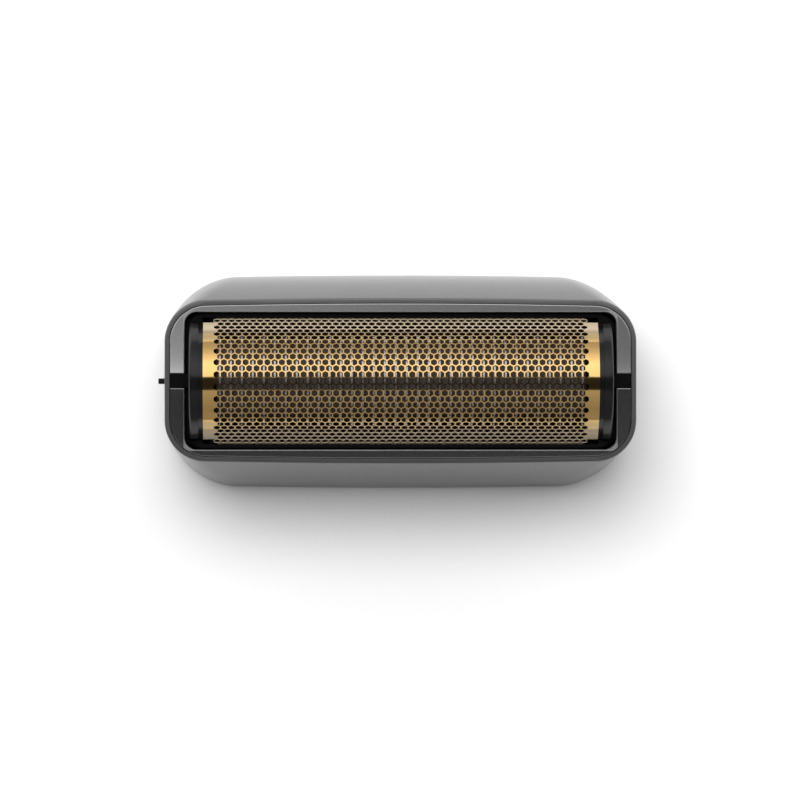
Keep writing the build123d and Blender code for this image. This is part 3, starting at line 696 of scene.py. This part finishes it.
def combine(piece, tool, operation):
    cut = piece.modifiers.new("cut", "BOOLEAN")
    cut.operation = operation
    cut.solver = "EXACT"
    cut.object = tool
    applyAll(piece)
    bpy.data.objects.remove(tool)


def addBezel(shape):
    length, width = shape["length"], shape["width"]
    bottom, top = shape["bottom"], shape["top"]
    past = shape["toolReach"]
    bezel = addSlab(length, width, shape["corner"], bottom, top, shape["sideCrown"])
    bezel.name = "bezel"
    for side in (-1, 1):
        saddle = addSlab(
            shape["saddleLength"], shape["saddleWidth"], 0, shape["saddleBottom"], bottom + shape["saddleOverlap"]
        )
        for point in saddle.data.vertices:
            point.co.x += side * (length - shape["saddleLength"]) / 2 * mm
        combine(bezel, saddle, "UNION")
    opening = addSlab(
        shape["openingLength"], shape["openingWidth"], shape["openingCorner"], bottom - past, top + past
    )
    combine(bezel, opening, "DIFFERENCE")
    notch = addSlab(
        length + past, shape["notchWidth"], 0, shape["saddleBottom"] + shape["saddleFloor"], top + past
    )
    combine(bezel, notch, "DIFFERENCE")
    openMesh(bezel, chosen="SELECT")
    bpy.ops.mesh.remove_doubles(threshold=partWeld)
    bpy.ops.mesh.dissolve_limited(angle_limit=radians(shape["flat"]))
    pick(bezel, lambda spot: spot.z > top * mm - hair)
    bpy.ops.mesh.bevel(offset=shape["bevel"] * mm, segments=2, affect="EDGES", clamp_overlap=False)
    closeMesh()
    smoothOff(bezel, 0, True)
    standFor(bezel, ["trim_ring"])
    return bezel


bezel = addBezel(bezelShape)
print("bezel:", len(bezel.data.polygons), "faces")

# coils of round wire with closed end turns, wound along one axis
coilSprings = {
    "floatSpring": {
        "nodes": [
            "float_spring_front_left", "float_spring_back_left",
            "float_spring_front_right", "float_spring_back_right",
        ],
        "wire": 0.28, "turns": 7, "joint": "foil_float", "travel": 1.2, "along": 2, "fixedEnd": 0,
    },
    "cutterSpring": {
        "nodes": ["cutter_spring_left", "cutter_spring_right"],
        "wire": 0.35, "turns": 6, "joint": "foil_float", "travel": 1.2, "along": 2, "fixedEnd": 0,
    },
    "releaseSpring": {
        "nodes": ["release_spring"],
        "wire": 0.28, "turns": 4.5, "joint": "release_press", "travel": 0.8, "along": 0, "fixedEnd": 1,
    },
}

coilMesh = {"wireSides": 10, "stepsPerTurn": 24, "smoothAngle": 50}


def addCoil(name, node, setup):
    low, high = (Vector(corner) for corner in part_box(node))
    along = setup["along"]
    across = 1
    wire = setup["wire"] * mm
    turns = setup["turns"]
    length = high[along] - low[along]
    radius = (high[across] - low[across] - wire) / 2
    rise = length - wire
    evenPitch = rise / turns
    bpy.ops.object.select_all(action="DESELECT")
    bpy.ops.mesh.primitive_circle_add(vertices=coilMesh["wireSides"], radius=wire / 2)
    coil = bpy.context.object
    coil.name = name
    openMesh(coil, chosen="SELECT")
    bpy.ops.transform.rotate(value=pi / 2, orient_axis="X", center_override=(0, 0, 0))
    bpy.ops.transform.translate(value=(radius, 0, 0))
    closeMesh()
    winding = coil.modifiers.new("winding", "SCREW")
    winding.axis = "Z"
    winding.angle = 2 * pi * turns
    winding.screw_offset = rise
    winding.steps = winding.render_steps = int(coilMesh["stepsPerTurn"] * turns)
    winding.use_merge_vertices = False
    applyAll(coil)
    # the first and last turns lie closed against their neighbours, and those between share what is left
    openPitch = (rise - 2 * wire) / (turns - 2)
    for point in coil.data.vertices:
        share = atan2(point.co.y, point.co.x) / (2 * pi) % 1
        turn = round(point.co.z / evenPitch - share) + share
        turn = min(max(turn, 0), turns)
        closed = min(turn, 1) + max(turn - turns + 1, 0)
        lift = closed * wire + min(max(turn - 1, 0), turns - 2) * openPitch
        point.co.z += lift - turn * evenPitch + wire / 2
    openMesh(coil, chosen="SELECT")
    bpy.ops.mesh.fill_holes(sides=0)
    bpy.ops.mesh.select_all(action="SELECT")
    bpy.ops.mesh.normals_make_consistent(inside=False)
    closeMesh()
    turnTo = Matrix.Rotation(pi / 2, 4, "Y") if along == 0 else Matrix.Identity(4)
    start = (low + high) / 2
    start[along] = low[along]
    coil.data.transform(Matrix.Translation(start) @ turnTo)
    choose(coil)
    bpy.ops.object.shade_smooth_by_angle(angle=radians(coilMesh["smoothAngle"]))
    standFor(coil, [node])
    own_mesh(coil)


for kind, setup in coilSprings.items():
    for number, node in enumerate(setup["nodes"], 1):
        addCoil(f"{kind}{number}", node, setup)
print("coils wound")

# studio: a white floor, one large soft lamp above the back, and surroundings that metal reflects
studio = {
    "floorSize": 1.6,
    "floorTone": 0.92,
    "floorLift": 0.05,
    "paperGrain": 300.0,
    "paperShift": 1.01,
    "key": {"place": (-0.12, 0.30, 1.05), "aim": (0, 0, 0.015), "size": 0.62, "power": 8.4},
    # brightness of the surroundings from the front, over the zenith, to the back
    "surround": (
        (0.0, 0.30), (0.05, 0.27), (0.17, 0.33), (0.32, 0.40), (0.345, 0.02),
        (0.565, 0.02), (0.59, 1.15), (0.80, 1.35), (0.92, 0.85), (1.0, 0.45),
    ),
    "surroundPeak": 1.4,
}
white = (1.0, 1.0, 1.0)


def addFloor(setup):
    bpy.ops.object.select_all(action="DESELECT")
    bpy.ops.mesh.primitive_plane_add(size=setup["floorSize"])
    floor = bpy.context.object
    floor.name = "studioFloor"
    finish = Finish("whitePaper")
    grain = finish.noise(setup["paperGrain"], detail=2.0)
    tone = setup["floorTone"]
    paper = finish.mix(grain, (tone,) * 3, (tone * setup["paperShift"],) * 3)
    shader = finish.node("ShaderNodeBsdfDiffuse", None, {"Color": paper})
    seen = finish.node("ShaderNodeLightPath", None, None, "Is Camera Ray")
    glow = finish.node("ShaderNodeEmission", None, {"Color": white, "Strength": seen * setup["floorLift"]})
    both = finish.node("ShaderNodeAddShader", None, {0: shader, 1: glow})
    finish.node("ShaderNodeOutputMaterial", None, {"Surface": both})
    floor.data.materials.append(finish.material)


def addLamp(name, setup):
    data = bpy.data.lights.new(name, "AREA")
    data.shape = "DISK"
    data.size = setup["size"]
    data.energy = setup["power"]
    lamp = bpy.data.objects.new(name, data)
    bpy.context.scene.collection.objects.link(lamp)
    lamp.location = setup["place"]
    aim = Vector(setup["aim"]) - lamp.location
    lamp.rotation_euler = aim.to_track_quat("-Z", "Y").to_euler()
    lamp.visible_glossy = False


def addSky(setup):
    # white to the eye; other rays see the surroundings
    world = bpy.data.worlds.new("studioSky")
    sky = NodeTree(world)
    bpy.context.scene.world = world
    direction = sky.node("ShaderNodeTexCoord", None, None, "Generated")
    place = sky.part(direction, 1) * 0.5 + 0.5
    peak = setup["surroundPeak"]
    stops = [(position, level / peak) for position, level in setup["surround"]]
    level = sky.node("ShaderNodeValToRGB", {"stops": stops}, {0: place}) * peak
    seen = sky.node("ShaderNodeLightPath", None, None, "Is Camera Ray")
    back = sky.node("ShaderNodeBackground", None, {"Color": white, "Strength": seen + (1 - seen) * level})
    sky.node("ShaderNodeOutputWorld", None, {"Surface": back})


addFloor(studio)
addLamp("keyLamp", studio["key"])
addSky(studio)
bpy.context.scene.view_settings.view_transform = "Standard"
print("studio set")
